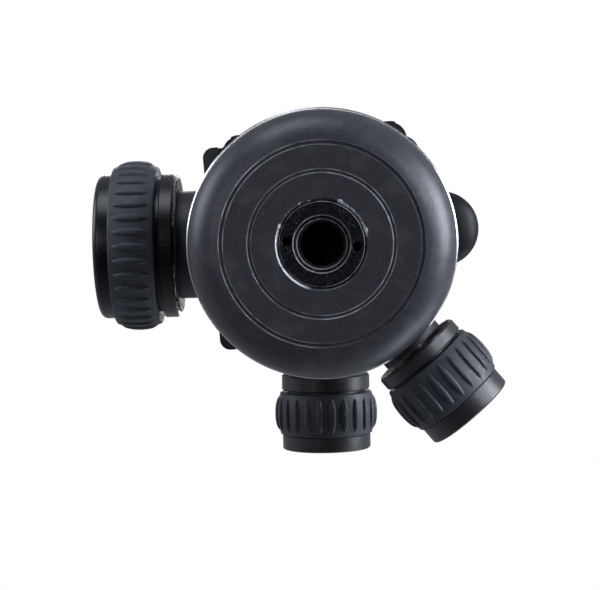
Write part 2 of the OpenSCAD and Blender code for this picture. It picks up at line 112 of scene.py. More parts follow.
def axle_of(joint):
    return Axle(JOINTS[joint]["pos_m"], JOINTS[joint]["axis"])


PAN_AXLE = axle_of("pan")


# ---------- material building ----------


class Finish:
    """A node material on one Principled shader, with helpers that add detail to it."""

    def __init__(self, name, colour, roughness, metallic=0.0, **sockets):
        self.mat = bpy.data.materials.new(name)
        self.mat.use_nodes = True
        self.tree = self.mat.node_tree
        self.shader = self.tree.nodes["Principled BSDF"]
        self.colour = (*colour, 1.0)
        self.set("Base Color", self.colour)
        self.set("Roughness", roughness)
        self.set("Metallic", metallic)
        for socket, value in sockets.items():
            self.set(socket.replace("_", " "), value)
        self.coords = self.tree.nodes.new("ShaderNodeTexCoord").outputs["Object"]
        self.bump_out = None

    def set(self, socket, value):
        self.shader.inputs[socket].default_value = value

    def link(self, out, into):
        self.tree.links.new(out, into)

    def node(self, kind, **settings):
        made = self.tree.nodes.new("ShaderNode" + kind)
        for key, value in settings.items():
            setattr(made, key, value)
        return made

    def maths(self, operation, *values, clamp=False):
        made = self.node("Math", operation=operation, use_clamp=clamp)
        for socket, value in zip(made.inputs, values):
            if isinstance(value, (int, float)):
                socket.default_value = value
            else:
                self.link(value, socket)
        return made.outputs[0]

    def largest(self, values):
        """The largest of several outputs."""
        made = values[0]
        for value in values[1:]:
            made = self.maths("MAXIMUM", made, value)
        return made

    def stretched(self, scale):
        """Object coordinates, scaled by a vector."""
        made = self.node("VectorMath", operation="MULTIPLY")
        self.link(self.coords, made.inputs[0])
        made.inputs[1].default_value = scale
        return made.outputs[0]

    def coordinate(self, letter):
        """The shaded point's X, Y or Z, in metres."""
        split = self.node("SeparateXYZ")
        self.link(self.coords, split.inputs[0])
        return split.outputs[letter]

    def noise(self, size, detail=3.0, stretch=None, rough=0.55):
        """Noise from 0 to 1 whose blotches are about this size, in metres."""
        made = self.node("TexNoise")
        made.inputs["Scale"].default_value = 1.0 / size
        made.inputs["Detail"].default_value = detail
        made.inputs["Roughness"].default_value = rough
        self.link(self.stretched(stretch) if stretch else self.coords, made.inputs["Vector"])
        return made.outputs["Fac"]

    def ramp(self, value, low, high, out_low=0.0, out_high=1.0):
        made = self.node("MapRange", interpolation_type="SMOOTHSTEP")
        self.link(value, made.inputs["Value"])
        for socket, number in (
            ("From Min", low), ("From Max", high), ("To Min", out_low), ("To Max", out_high),
        ):
            made.inputs[socket].default_value = number
        return made.outputs["Result"]

    def bump(self, height, depth, strength=1.0):
        """Adds a height, from 0 to 1 over this depth in metres, on top of earlier bumps."""
        made = self.node("Bump")
        made.inputs["Strength"].default_value = strength
        made.inputs["Distance"].default_value = depth
        self.link(height, made.inputs["Height"])
        if self.bump_out:
            self.link(self.bump_out, made.inputs["Normal"])
        self.bump_out = made.outputs["Normal"]
        self.link(self.bump_out, self.shader.inputs["Normal"])

    def source(self, socket):
        """What a socket has now: the link into it, or its own value."""
        found = self.shader.inputs[socket]
        return found.links[0].from_socket if found.links else found.default_value

    def mix_colour(self, factor, colour):
        made = self.node("Mix", data_type="RGBA")
        a, b = made.inputs[6], made.inputs[7]
        now = self.source("Base Color")
        if isinstance(now, bpy.types.NodeSocket):
            self.link(now, a)
        else:
            a.default_value = now
        b.default_value = (*colour, 1.0)
        self.link(factor, made.inputs[0])
        self.link(made.outputs[2], self.shader.inputs["Base Color"])

    def mix_value(self, socket, factor, value):
        made = self.node("Mix", data_type="FLOAT")
        now = self.source(socket)
        if isinstance(now, bpy.types.NodeSocket):
            self.link(now, made.inputs[2])
        else:
            made.inputs[2].default_value = now
        made.inputs[3].default_value = value
        self.link(factor, made.inputs[0])
        self.link(made.outputs[0], self.shader.inputs[socket])

    def blotch(self, size, colour, share=0.5, low=0.35, high=0.7):
        """Mixes in a second colour, in soft blotches of this size."""
        self.mix_colour(self.ramp(self.noise(size), low, high, 0.0, share), colour)

    def grain(self, size, depth, strength=1.0, detail=2.0):
        self.bump(self.noise(size, detail=detail), depth, strength)

    def uneven_gloss(self, size, rough_to, low=0.35, high=0.65):
        self.mix_value("Roughness", self.ramp(self.noise(size), low, high), rough_to)

    def radius_about(self, axle):
        """Distance of the shaded point from an axle, in metres."""
        away = self.node("VectorMath", operation="SUBTRACT")
        self.link(self.coords, away.inputs[0])
        away.inputs[1].default_value = axle.foot
        cross = self.node("VectorMath", operation="CROSS_PRODUCT")
        self.link(away.outputs[0], cross.inputs[0])
        cross.inputs[1].default_value = axle.along
        length = self.node("VectorMath", operation="LENGTH")
        self.link(cross.outputs[0], length.inputs[0])
        return length.outputs["Value"]

    def turning_lines(self, axle, pitch, depth, strength=0.6):
        """Fine concentric tool marks round an axle, uneven like real ones."""
        radius = self.radius_about(axle)
        wobble = self.maths("MULTIPLY", self.noise(3 * MM), pitch)
        phase = self.maths("MULTIPLY", self.maths("ADD", radius, wobble), math.tau / pitch)
        self.bump(self.maths("SINE", phase), depth, strength)

    def ring_mask(self, radius, at, half, size, low=0.35, high=0.6, least=0.2):
        """Mask of a thin circle at this radius, broken up by noise of this size."""
        near = self.maths("ABSOLUTE", self.maths("SUBTRACT", radius, at))
        line = self.ramp(near, 0.4 * half, half, 1.0, 0.0)
        return self.maths("MULTIPLY", line, self.ramp(self.noise(size, 4.0), low, high, least))


def blasted_black(
    name, axle=None, colour=(0.020, 0.022, 0.027), roughness=0.36, metallic=0.35, gloss=0.6
):
    """Black anodised aluminium with a fine bead-blasted grain."""
    f = Finish(name, colour, roughness, metallic, Specular_IOR_Level=gloss)
    f.blotch(1.1 * MM, tuple(1.3 * c for c in colour), 0.7)
    f.uneven_gloss(0.25 * MM, roughness + 0.06)
    f.grain(0.22 * MM, 0.026 * MM, 1.0)
    if axle:
        f.turning_lines(axle, 0.22 * MM, 0.002 * MM)
    return f


def knob_black(name, axle):
    """The knobs' black with a coarser grain, smoother on the main knob. Its colour is painted darker
    on the main knob, as painted shade, and lighter on the small knobs, as painted light, for how
    light falls on each.
    """
    if name.startswith("main"):
        # painted shade: the main knob's black is made darker
        f = blasted_black(name, axle, (0.004, 0.004, 0.005), 0.24, 0.0, 0.45)
    else:
        # painted light: the small knobs' black is made lighter
        f = blasted_black(name, axle, (0.015, 0.016, 0.018), 0.33, 0.0, 0.7)
    f.grain(0.20 * MM, 0.012 * MM, 0.8)
    return f


def base_finish():
    """The base disc: blasted black, with bare metal and painted highlight at its recess's edge,
    painted highlights on its grooves' edges, and a scuff.
    """
    f = blasted_black("base_anodised", PAN_AXLE, (0.040, 0.042, 0.050), 0.36)
    f.blotch(0.42 * MM, (0.060, 0.063, 0.073), 0.8, 0.46, 0.60)
    radius = f.radius_about(PAN_AXLE)
    # bare metal and painted highlight on the recess's edge
    bare_recess(f, radius)
    # painted highlights: light lines on the grooves' edges
    worn_grooves(f, radius)
    f.mix_colour(f.ramp(f.noise(6 * MM, 2.0), 0.48, 0.72, 0.0, 0.7), (0.078, 0.081, 0.090))
    smear = scuff_mask(f, SCUFF_AT, -0.75, 4.2 * MM, 0.9 * MM)
    f.mix_colour(smear, (0.075, 0.078, 0.086))
    f.mix_value("Roughness", smear, 0.55)
    fleck = f.ramp(f.noise(0.9 * MM, 1.0), 0.775, 0.79)
    f.mix_colour(fleck, (0.14, 0.14, 0.15))
    return f


def bare_recess(f, radius):
    """Bare metal and painted highlight on the recess's edge: a few long light arcs, partly worn metal
    and partly painted highlight where light catches the edge, and single worn chips.
    """
    rim = f.maths(
        "MULTIPLY",
        f.ramp(radius, RECESS_R - 0.10 * MM, RECESS_R + 0.02 * MM),
        f.ramp(radius, RECESS_R + 0.34 * MM, RECESS_R + 0.5 * MM, 1.0, 0.0),
    )
    angle = f.maths("ARCTAN2", f.coordinate("Y"), f.coordinate("X"))
    arcs = []
    for middle, half, low in WORN_AND_LIT_ARCS:
        away = f.maths("ABSOLUTE", f.maths("SUBTRACT", angle, middle))
        window = f.ramp(away, half - 0.25, half, 1.0, 0.0)
        chips = f.ramp(f.noise(0.6 * MM, 4.0, rough=0.7), low, low + 0.08)
        arcs.append(f.maths("MULTIPLY", window, chips))
    edge_wear_and_highlight = f.maths("MULTIPLY", rim, f.largest(arcs), clamp=True)
    edge_wear_and_highlight = f.largest([edge_wear_and_highlight] + [chip_mask(f, chip) for chip in CHIPS])
    # partly bare metal, partly painted highlight: a light bluish colour on the recess's edge
    f.mix_colour(edge_wear_and_highlight, (0.86, 0.87, 0.92))
    f.mix_value("Metallic", edge_wear_and_highlight, 0.25)
    f.mix_value("Roughness", edge_wear_and_highlight, 0.3)


def worn_grooves(f, radius):
    """Painted highlights on the grooves' edges, brighter on one side of the disc than on the other,
    as the light falls on them.
    """
    for groove, lit_ends in zip(GROOVE_EDGES, GROOVE_HIGHLIGHT_SIDES):
        line = f.ring_mask(radius, groove, 0.16 * MM, 2.5 * MM, least=0.35)
        bright = f.ramp(f.coordinate("X"), -10 * MM, 12 * MM, *lit_ends)
        # painted highlight: a light line on each groove edge, brighter on the lit side
        f.mix_colour(f.maths("MULTIPLY", line, bright), (0.42, 0.425, 0.45))


def chip_mask(f, place):
    """A small ragged chip at a point of the recess's edge."""
    away = f.node("VectorMath", operation="DISTANCE")
    f.link(f.coords, away.inputs[0])
    away.inputs[1].default_value = place
    ragged = f.maths("MULTIPLY", f.noise(0.35 * MM, 3.0), 0.9 * MM)
    return f.ramp(f.maths("SUBTRACT", away.outputs["Value"], ragged), 0.0, 0.12 * MM, 1.0, 0.0)


def scuff_mask(f, centre, turn, half_long, half_wide):
    """A soft smear round a point of the underside, streaked along its own length."""
    away = f.node("VectorMath", operation="SUBTRACT")
    f.link(f.coords, away.inputs[0])
    away.inputs[1].default_value = centre
    turned = f.node("VectorRotate", rotation_type="Z_AXIS")
    f.link(away.outputs[0], turned.inputs["Vector"])
    turned.inputs["Angle"].default_value = turn
    scaled = f.node("VectorMath", operation="DIVIDE")
    f.link(turned.outputs[0], scaled.inputs[0])
    scaled.inputs[1].default_value = (half_long, half_wide, 1.0)
    length = f.node("VectorMath", operation="LENGTH")
    f.link(scaled.outputs[0], length.inputs[0])
    soft = f.ramp(length.outputs["Value"], 0.2, 1.0, 0.55, 0.0)
    return f.maths("MULTIPLY", soft, f.ramp(f.noise(0.5 * MM), 0.35, 0.6))


def coated(name):
    """Satin coat of the housing, with a fine orange-peel texture."""
    f = Finish(name, (0.020, 0.022, 0.026), 0.46, 0.0, Specular_IOR_Level=0.5)
    f.blotch(5 * MM, (0.029, 0.031, 0.036), 0.6)
    f.uneven_gloss(0.5 * MM, 0.53)
    f.grain(0.3 * MM, 0.008 * MM, 0.8)
    f.grain(0.12 * MM, 0.006 * MM, 0.6)
    return f


def rubber(name, colour=(0.026, 0.030, 0.038), roughness=0.46):
    """Moulded rubber: matt, faintly mottled, with specks of dust."""
    f = Finish(name, colour, roughness, 0.0, Specular_IOR_Level=0.55)
    f.blotch(1.6 * MM, tuple(1.35 * c for c in colour), 0.8)
    f.uneven_gloss(0.5 * MM, roughness + 0.16)
    f.grain(0.14 * MM, 0.02 * MM, 0.9)
    dust = f.ramp(f.noise(0.5 * MM, 1.0), 0.775, 0.80)
    f.mix_colour(dust, (0.22, 0.22, 0.23))
    return f


def steel(name, colour, roughness, axle=None, pitch=0.25 * MM):
    f = Finish(name, colour, roughness, 1.0)
    f.blotch(3 * MM, tuple(0.8 * c for c in colour), 0.5)
    f.uneven_gloss(0.8 * MM, roughness + 0.12)
    f.grain(0.1 * MM, 0.003 * MM, 0.5)
    if axle:
        f.turning_lines(axle, pitch, 0.004 * MM)
    return f


def oxide(name, gloss=0.3):
    """Black oxide on turned steel: rough, with a sparkling grain."""
    f = Finish(name, (0.004, 0.004, 0.005), 0.42, 0.0, Specular_IOR_Level=gloss)
    f.blotch(0.6 * MM, (0.008, 0.008, 0.010), 0.8, 0.45, 0.62)
    f.mix_colour(f.ramp(f.noise(0.16 * MM, 2.0), 0.52, 0.66, 0.0, 0.7), (0.042, 0.044, 0.048))
    f.grain(0.28 * MM, 0.06 * MM, 1.0, 2.0)
    f.grain(0.10 * MM, 0.012 * MM, 0.8)
    f.mix_value("Roughness", f.ramp(f.noise(0.4 * MM), 0.4, 0.62), 0.30)
    f.mix_colour(f.ramp(f.noise(0.16 * MM, 1.0), 0.73, 0.76), (0.35, 0.35, 0.34))
    return f


def ring_nut_finish():
    """The insert's black oxide, with painted highlights along its turned edges."""
    f = oxide("ring_nut_oxide", 0.10)
    radius = f.radius_about(PAN_AXLE)
    mouth, bead, outer_edge = (4.56, 0.10), (5.27, 0.11), (7.8, 0.12)
    for at, half in (mouth, bead, outer_edge):
        line = f.ring_mask(radius, at * MM, half * MM, 1.6 * MM, 0.30, 0.55, 0.15)
        # painted highlight: a light line on each turned edge
        f.mix_colour(line, (0.30, 0.30, 0.33))
    return f


def nylon(name):
    f = Finish(name, (0.74, 0.73, 0.69), 0.42, 0.0, Subsurface_Weight=0.15)
    f.blotch(2.5 * MM, (0.66, 0.65, 0.60), 0.6)
    f.grain(0.25 * MM, 0.01 * MM, 0.6)
    return f


def soft_touch(name):
    """Soft-touch plastic of the clamp knob: smooth satin, faintly mottled by handling."""
    f = Finish(name, (0.008, 0.009, 0.011), 0.46, 0.0, Specular_IOR_Level=0.18)
    f.blotch(3 * MM, (0.014, 0.015, 0.018), 0.6)
    f.uneven_gloss(1.1 * MM, 0.44)
    f.grain(0.12 * MM, 0.005 * MM, 0.6)
    return f


def scale_finish(name):
    """Satin steel ring under the housing, with faint turning lines."""
    f = Finish(name, (0.46, 0.46, 0.49), 0.27, 1.0)
    f.blotch(4 * MM, (0.40, 0.40, 0.43), 0.6)
    f.uneven_gloss(2.5 * MM, 0.17)
    f.turning_lines(PAN_AXLE, 0.2 * MM, 0.001 * MM, 0.4)
    return f


def polished_black(name):
    """Hard anodised ball: glossy black, faintly mottled where the cup has rubbed it."""
    f = Finish(name, (0.012, 0.012, 0.014), 0.16, 0.2, Specular_IOR_Level=0.65)
    f.blotch(4 * MM, (0.022, 0.022, 0.025), 0.7)
    f.uneven_gloss(2 * MM, 0.28)
    f.grain(0.2 * MM, 0.001 * MM, 0.4)
    return f


def painted_white(name):
    f = Finish(name, (0.78, 0.78, 0.76), 0.5)
    f.blotch(0.8 * MM, (0.60, 0.60, 0.58), 0.7)
    return f


# ---------- mesh building ----------


def closed_mesh(name, verts, faces):
    """A mesh whose faces all point outward."""
    mesh = bpy.data.meshes.new(name)
    mesh.from_pydata([tuple(v) for v in verts], [], faces)
    shell = bmesh.new()
    shell.from_mesh(mesh)
    bmesh.ops.recalc_face_normals(shell, faces=shell.faces)
    shell.to_mesh(mesh)
    shell.free()
    return mesh


def add_piece(name, verts, faces, body, slot, finish, sharp=32, replaces=()):
    """A closed mesh, placed in the CAD's frame, that rides on a CAD body."""
    mesh = closed_mesh(name, verts, faces)
    mesh.shade_smooth()
    mesh.set_sharp_from_angle(angle=math.radians(sharp))
    obj = bpy.data.objects.new(name, mesh)
    SCENE.collection.objects.link(obj)
    mesh.materials.append(finish.mat)
    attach(obj, body)
    if replaces:
        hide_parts(*replaces)
    return obj


def turned(axle, profile, steps, shape=None):
    """Revolves (u, r) points round an axle. shape(u, r, angle) may change a radius.

    An end at radius 0 becomes one point. Otherwise the profile is a closed loop.
    """
    verts, rings = [], []
    for u, r in profile:
        if r < 1e-9:
            rings.append([len(verts)])
            verts.append(axle.at(u, 0, 0))
            continue
        ring = []
        for k in range(steps):
            angle = math.tau * k / steps
            ring.append(len(verts))
            verts.append(axle.at(u, shape(u, r, angle) if shape else r, angle))
        rings.append(ring)
    if len(rings[0]) > 1 and len(rings[-1]) > 1:
        rings.append(rings[0])
    faces = []
    for a, b in zip(rings, rings[1:]):
        for k in range(steps):
            n = (k + 1) % steps
            if len(a) == 1:
                faces.append((a[0], b[n], b[k]))
            elif len(b) == 1:
                faces.append((a[k], a[n], b[0]))
            else:
                faces.append((a[k], a[n], b[n], b[k]))
    return verts, faces


def bridge(first, second, steps):
    """Quads between two rings of this many points, given the number of each ring's first."""
    around = [(k, (k + 1) % steps) for k in range(steps)]
    return [(first + k, first + n, second + n, second + k) for k, n in around]


def block_faces(base):
    """The six faces of a block whose eight corners start at this number, lower four first."""
    ends = [(base + 3, base + 2, base + 1, base), (base + 4, base + 5, base + 6, base + 7)]
    return ends + bridge(base, base + 4, 4)


def spread(low, high, count):
    return [low + (high - low) * i / (count - 1) for i in range(count)]


def fillet(u, r, radius, start, end, count=6):
    """Points of an arc about (u, r), from one angle to another, in degrees from +u."""
    return [
        (u + radius * math.cos(math.radians(a)), r + radius * math.sin(math.radians(a)))
        for a in spread(start, end, count)
    ]


def cut_with(obj, verts, faces):
    """Cuts a closed mesh out of a piece, and leaves no modifier behind."""
    mesh = closed_mesh("cutter", verts, faces)
    cutter = bpy.data.objects.new("cutter", mesh)
    SCENE.collection.objects.link(cutter)
    modifier = obj.modifiers.new("cut", "BOOLEAN")
    modifier.operation, modifier.solver, modifier.object = "DIFFERENCE", "EXACT", cutter
    bpy.context.view_layer.update()
    graph = bpy.context.evaluated_depsgraph_get()
    made = bpy.data.meshes.new_from_object(obj.evaluated_get(graph), depsgraph=graph)
    obj.modifiers.clear()
    obj.data = made
    bpy.data.objects.remove(cutter)
    made.shade_smooth()
    made.set_sharp_from_angle(angle=math.radians(32))


def box_mesh(low, high):
    corners = [
        (x, y, z) for x in (low[0], high[0]) for y in (low[1], high[1]) for z in (low[2], high[2])
    ]
    faces = [(0, 1, 3, 2), (4, 6, 7, 5), (0, 4, 5, 1), (2, 3, 7, 6), (0, 2, 6, 4), (1, 5, 7, 3)]
    return corners, faces


# ---------- rubber grips ----------


def almond(x, t, half_wide, height):
    """Height of a long almond-shaped bump, x across it and t from -1 to 1 along it."""
    if abs(t) >= 1:
        return 0.0
    width = half_wide * (1 - t * t) ** 0.72
    s = abs(x) / width
    if s >= 1:
        return 0.0
    return height * (1 - s ** 3.4) ** 0.62 * (1 - t ** 6)


def add_grip(knob, bumps, half_wide, height, samples, rows, edge, phase=0.5):
    """A crowned rubber ring with raised almond bumps, where the CAD's plain grip is."""
    node = knob + "_grip"
    axle = axle_of(knob + "_turn")
    low, high = axle.span(node)
    inner, widest = axle.radii(node)
    end_r = axle.radii(node, low, low + 0.02 * MM)[1]
    middle, half = (low + high) / 2, (high - low) / 2
    reach = 0.80 * half
    steps = bumps * samples

    def crown(u):
        return end_r + (widest - end_r) * (1 - ((u - middle) / half) ** 2)

    def shape(u, r, angle):
        if r < end_r - edge * 0.5:
            return r
        x = (angle * bumps / math.tau + phase) % 1.0 - 0.5
        x *= math.tau / bumps * r
        return r + almond(x, (u - middle) / reach, half_wide, height)

    profile = [(low, inner)]
    profile += fillet(low + edge, end_r - edge * 0.7, edge, 180, 105, 5)
    profile += [(u, crown(u)) for u in spread(low + edge, high - edge, rows)]
    profile += fillet(high - edge, end_r - edge * 0.7, edge, 75, 0, 5)
    profile += [(high, inner)]
    verts, faces = turned(axle, profile, steps, shape)
    return add_piece(
        node + "_rubber", verts, faces, knob, "grip_rubber", GRIP_RUBBER[knob], 50, [node]
    )


# ---------- knob caps ----------


def add_cap(knob, rim, dish):
    """The knob's end cap, with a rounded rim, a turned step and a shallow dish in its end."""
    node = knob + "_cap"
    axle = axle_of(knob + "_turn")
    inner_end, outer_end = axle.span(node)
    radius = axle.radii(node)[1]
    spigot_r = axle.radii(node, inner_end, inner_end + 0.02 * MM)[1]
    seat = axle.span(knob + "_grip")[1]
    step_r = radius - rim - 0.9 * MM
    profile = [(inner_end, 0), (inner_end, spigot_r), (seat, spigot_r), (seat, radius - 0.15 * MM)]
    profile += [(seat + 0.15 * MM, radius)]
    profile += fillet(outer_end - rim, radius - rim, rim, 90, 0, 10)
    profile += [(outer_end, step_r), (outer_end - 0.25 * MM, step_r - 0.2 * MM)]
    profile += [
        (outer_end - 0.25 * MM - dish * (1 - (k / 6) ** 2), (step_r - 0.2 * MM) * k / 6)
        for k in range(5, -1, -1)
    ]
    verts, faces = turned(axle, profile, 128)
    finish = knob_black(knob + "_cap_anodised", axle)
    return add_piece(node + "_turned", verts, faces, knob, "knob_anodised", finish, 40, [node])


# ---------- threads ----------


def ridge(phase):
    """Profile of a 60 degree thread with flats, 0 at the minor radius and 1 at the major."""
    x = abs((phase % 1.0) * 2 - 1)
    return min(1.0, max(0.0, (x - 0.12) / 0.76))


def add_thread_insert():
    """The ring nut in the base: a turned face with two spanner holes, and a 3/8 inch thread."""
    pitch, major = 1.5875 * MM, 4.76 * MM
    low, high = bottom("thread_insert"), top("thread_insert")
    minor = PAN_AXLE.radii("thread_insert")[0]
    flange_r = PAN_AXLE.radii("thread_insert")[1]
    barrel_r = PAN_AXLE.radii("thread_insert", high - 0.1 * MM, high)[1]
    flange_top = bottom("base_disc") + 3.3 * MM
    thread_end = low + 12.6 * MM
    rows = spread(thread_end, low + 0.7 * MM, 150)

    def shape(u, r, angle):
        if r > minor + 1e-7:
            return r
        return minor + (major - minor) * ridge(u / pitch - angle / math.tau)

    profile = [(thread_end, 0)] + [(u, minor) for u in rows]
    for deep, r in (
        (0.62, 4.50), (0.50, 4.62), (0.46, 5.08), (0.40, 5.16), (0.14, 5.20), (0.0, 5.34),
        (0.0, 7.70), (0.15, 7.85),
    ):
        profile.append((low + deep * MM, r * MM))
    profile += [(flange_top, flange_r), (flange_top, barrel_r), (high, barrel_r), (high, 0)]
    verts, faces = turned(PAN_AXLE, profile, 128, shape)
    insert = add_piece(
        "thread_insert_turned", verts, faces, "base", "black_oxide_steel", RING_NUT, 35,
        ["thread_insert"],
    )
    hole_turn, hole_at = math.radians(5.3), 6.415 * MM
    outline = [(-1, 0), (-1, 1.05), (0, 1.05), (0.12, 0.9), (2.8, 0.9), (3.0, 0)]
    outline = [(low + u * MM, r * MM) for u, r in outline]
    for turn in (hole_turn + math.pi, hole_turn):
        hole = Axle(PAN_AXLE.at(0, hole_at, turn), UP)
        cut_with(insert, *turned(hole, outline, 40))


def add_camera_screw():
    """The captive camera screw: a slotted head with its neck, and a helical 1/4 inch thread."""
    pitch, root, edge = 1.27 * MM, 2.62 * MM, 0.3 * MM
    axle = axle_of("camera_screw_turn")
    finish = steel("stud_steel", (0.56, 0.56, 0.57), 0.28, axle)
    low, high = axle.span("camera_screw")
    head_r = axle.radii("camera_screw")[1]
    head_top = low + 2.4 * MM
    stud_from = top("plate_pad") - 0.5 * MM
    stud_r = axle.radii("camera_screw", stud_from - 0.1 * MM, high)[1]

    def shape(u, r, angle):
        if r < root - 1e-7:
            return r
        fade = min(1.0, max(0.0, (u - stud_from) / MM))
        tip = min(1.0, max(0.0, (high - u) / (0.6 * MM)))
        return root + (stud_r - root) * ridge(u / pitch - angle / math.tau) * fade * tip

    profile = [(low, 0), (low, head_r - edge), (low + edge, head_r), (head_top - edge, head_r)]
    profile += [(head_top, head_r - edge), (head_top, 2.6 * MM), (stud_from, 2.6 * MM)]
    head = add_piece(
        "camera_screw_head", *turned(axle, profile + [(stud_from, 0)], 72), "camera_screw",
        "bright_steel", finish, 30, ["camera_screw"],
    )
    cut_with(head, *box_mesh((-0.02, -0.8 * MM, low - MM), (0.02, 0.8 * MM, low + MM)))
    profile = [(stud_from - 0.3 * MM, 0), (stud_from - 0.3 * MM, root)]
    profile += [(u, root) for u in spread(stud_from, high - 0.01 * MM, 90)]
    profile += [(high, root * 0.8), (high, 0)]
    add_piece(
        "camera_screw_stud", *turned(axle, profile, 72, shape), "camera_screw",
        "bright_steel", finish, 30,
    )


# ---------- clamp knob ----------


def clamp_knob_rows(low, high, half_tall):
    """Distance along the axle, half width and half height of each ring of the knob."""
    hub_r, radius, count = 4.3 * MM, 8.6 * MM, 40
    centre = high - radius
    shoulder = low + 0.85 * MM
    rows = [(low, hub_r, hub_r), (shoulder - 0.1 * MM, hub_r, hub_r)]
    for i in range(count):
        s = i / (count - 1)
        u = shoulder + (high - shoulder) * (1 - (1 - s) ** 2.2)
        t = (u - centre) / radius
        wide = radius * math.sqrt(max(0.0, 1 - t * t))
        tall = half_tall * max(0.0, 1 - max(0.0, t) ** 3.2) ** 0.5
        soft = min(1.0, (u - shoulder) / (0.9 * MM))
        shrink = 1 - 0.09 * (1 - math.sqrt(max(0.0, 1 - (1 - soft) ** 2)))
        rows.append((u, max(wide * shrink, 1e-5), max(tall * shrink, 1e-5)))
    return rows


def soft_oval(wide, tall, steps, power=2.7):
    """Points of an oval that is a little squarer than an ellipse."""
    made = []
    for k in range(steps):
        c, s = math.cos(math.tau * k / steps), math.sin(math.tau * k / steps)
        y = wide * math.copysign(abs(c) ** (2 / power), c)
        z = tall * math.copysign(abs(s) ** (2 / power), s)
        made.append((y, z))
    return made


def add_clamp_knob():
    """A D-shaped knob with soft edges: round towards its outer end, flat across its hub."""
    axle = axle_of("clamp_knob_turn")
    low, high = axle.span("clamp_knob")
    half_tall = min((top("clamp_knob") - bottom("clamp_knob")) / 2, 4.5 * MM)
    steps = 72
    rows = clamp_knob_rows(low, high, half_tall)
    verts, faces = [], []
    side = axle.along.cross(UP)
    for u, wide, tall in rows:
        for y, z in soft_oval(wide, tall, steps):
            place = axle.along * u + side * y
            verts.append(Vector((place.x, place.y, axle.foot.z + z)))
    for i in range(len(rows) - 1):
        faces += bridge(i * steps, (i + 1) * steps, steps)
    faces.append(tuple(range(steps - 1, -1, -1)))
    faces.append(tuple(range(len(verts) - steps, len(verts))))
    return add_piece(
        "clamp_knob_moulded", verts, faces, "clamp_knob", "clamp_knob_soft_touch",
        soft_touch("clamp_knob_soft_touch"), 40, ["clamp_knob", "clamp_knob_nut"],
    )


# ---------- plate pad ----------


def rounded_half(half_x, half_y, corner, x):
    """How far a rounded rectangle reaches along Y at this x."""
    over = abs(x) - (half_x - corner)
    if over <= 0:
        return half_y
    return half_y - corner + math.sqrt(max(0.0, corner ** 2 - over ** 2))


def with_midpoints(loop, longest):
    """A closed outline with extra points on every side that is longer than this."""
    made = []
    for (x, y), (to_x, to_y) in zip(loop, loop[1:] + loop[:1]):
        parts = max(1, math.ceil(math.hypot(to_x - x, to_y - y) / longest))
        made += [(x + (to_x - x) * i / parts, y + (to_y - y) * i / parts) for i in range(parts)]
    return made


def rounded_outline(half_x, half_y, corner):
    """Points of a rounded rectangle, with extra ones along its straight sides."""
    made = []
    for cx, cy, start in ((1, 1, 0), (-1, 1, 90), (-1, -1, 180), (1, -1, 270)):
        middle_x, middle_y = cx * (half_x - corner), cy * (half_y - corner)
        made += fillet(middle_x, middle_y, corner, start, start + 90, 7)
    return with_midpoints(made, 3 * MM)


def pad_sheet(outer, hole_r, floor, sheet_top, turn):
    """A flat sheet with this outline and a round hole at its middle."""
    angles = [math.atan2(y, x) for x, y in outer]
    hole = [(hole_r * math.cos(a), hole_r * math.sin(a)) for a in angles]
    loops = [(hole, floor), (outer, floor), (outer, sheet_top), (hole, sheet_top)]
    verts = [turn @ Vector((x, y, z)) for ring, z in loops for x, y in ring]
    steps = len(outer)
    faces = []
    for i in range(4):
        faces += bridge(i * steps, (i + 1) % 4 * steps, steps)
    return verts, faces


def add_plate_pad():
    """The rubber pad on the camera plate: a thin sheet with fine ribs across its top."""
    along = JOINTS["plate_slide"]["axis"]
    turn = math.atan2(along[1], along[0]) - math.pi / 2
    back = Matrix.Rotation(-turn, 3, "Z")
    ahead = Matrix.Rotation(turn, 3, "Z")
    local = [back @ p for p in points("plate_pad")]
    half_x = max(p.x for p in local)
    half_y = max(p.y for p in local)
    hole_r = min(math.hypot(p.x, p.y) for p in local)
    floor, upper = bottom("plate_pad"), top("plate_pad")
    rib, corner, pitch, margin = 0.35 * MM, 3 * MM, 1.45 * MM, 1.1 * MM
    sheet_top = upper - rib
    outer = rounded_outline(half_x, half_y, corner)
    verts, faces = pad_sheet(outer, hole_r, floor, sheet_top, ahead)
    ribs = int((half_x - margin) / pitch)
    for i in range(-ribs, ribs + 1):
        x = i * pitch
        reach = rounded_half(half_x - margin, half_y - margin, corner - margin / 2, x)
        clear = hole_r + margin
        gap = math.sqrt(clear ** 2 - x * x) if abs(x) < clear else 0.0
        runs = [(-reach, -gap), (gap, reach)] if gap else [(-reach, reach)]
        for start, end in runs:
            add_rib(verts, faces, ahead, x, start, end, sheet_top - 0.05 * MM, upper)
    return add_piece(
        "plate_pad_ribbed", verts, faces, "camera_plate", "pad_rubber",
        rubber("pad_rubber", (0.026, 0.027, 0.030), 0.7), 35, ["plate_pad"],
    )


def add_rib(verts, faces, turn, x, start, end, low, high):
    """One rib with sloping sides and ends, added to a mesh in the making."""
    base = len(verts)
    half, crest, slope = 0.42 * MM, 0.2 * MM, 0.3 * MM
    for half_wide, inset, z in ((half, 0.0, low), (crest, slope, high)):
        for sx, y in ((-1, start + inset), (1, start + inset), (1, end - inset), (-1, end - inset)):
            verts.append(turn @ Vector((x + sx * half_wide, y, z)))
    faces += block_faces(base)


# ---------- scale marks ----------


def on_drum(radius, angle, along, z):
    """A point on a drum round the pan axis, this far along its surface from an angle."""
    a = angle + along / radius
    return Vector((radius * math.cos(a), radius * math.sin(a), z))


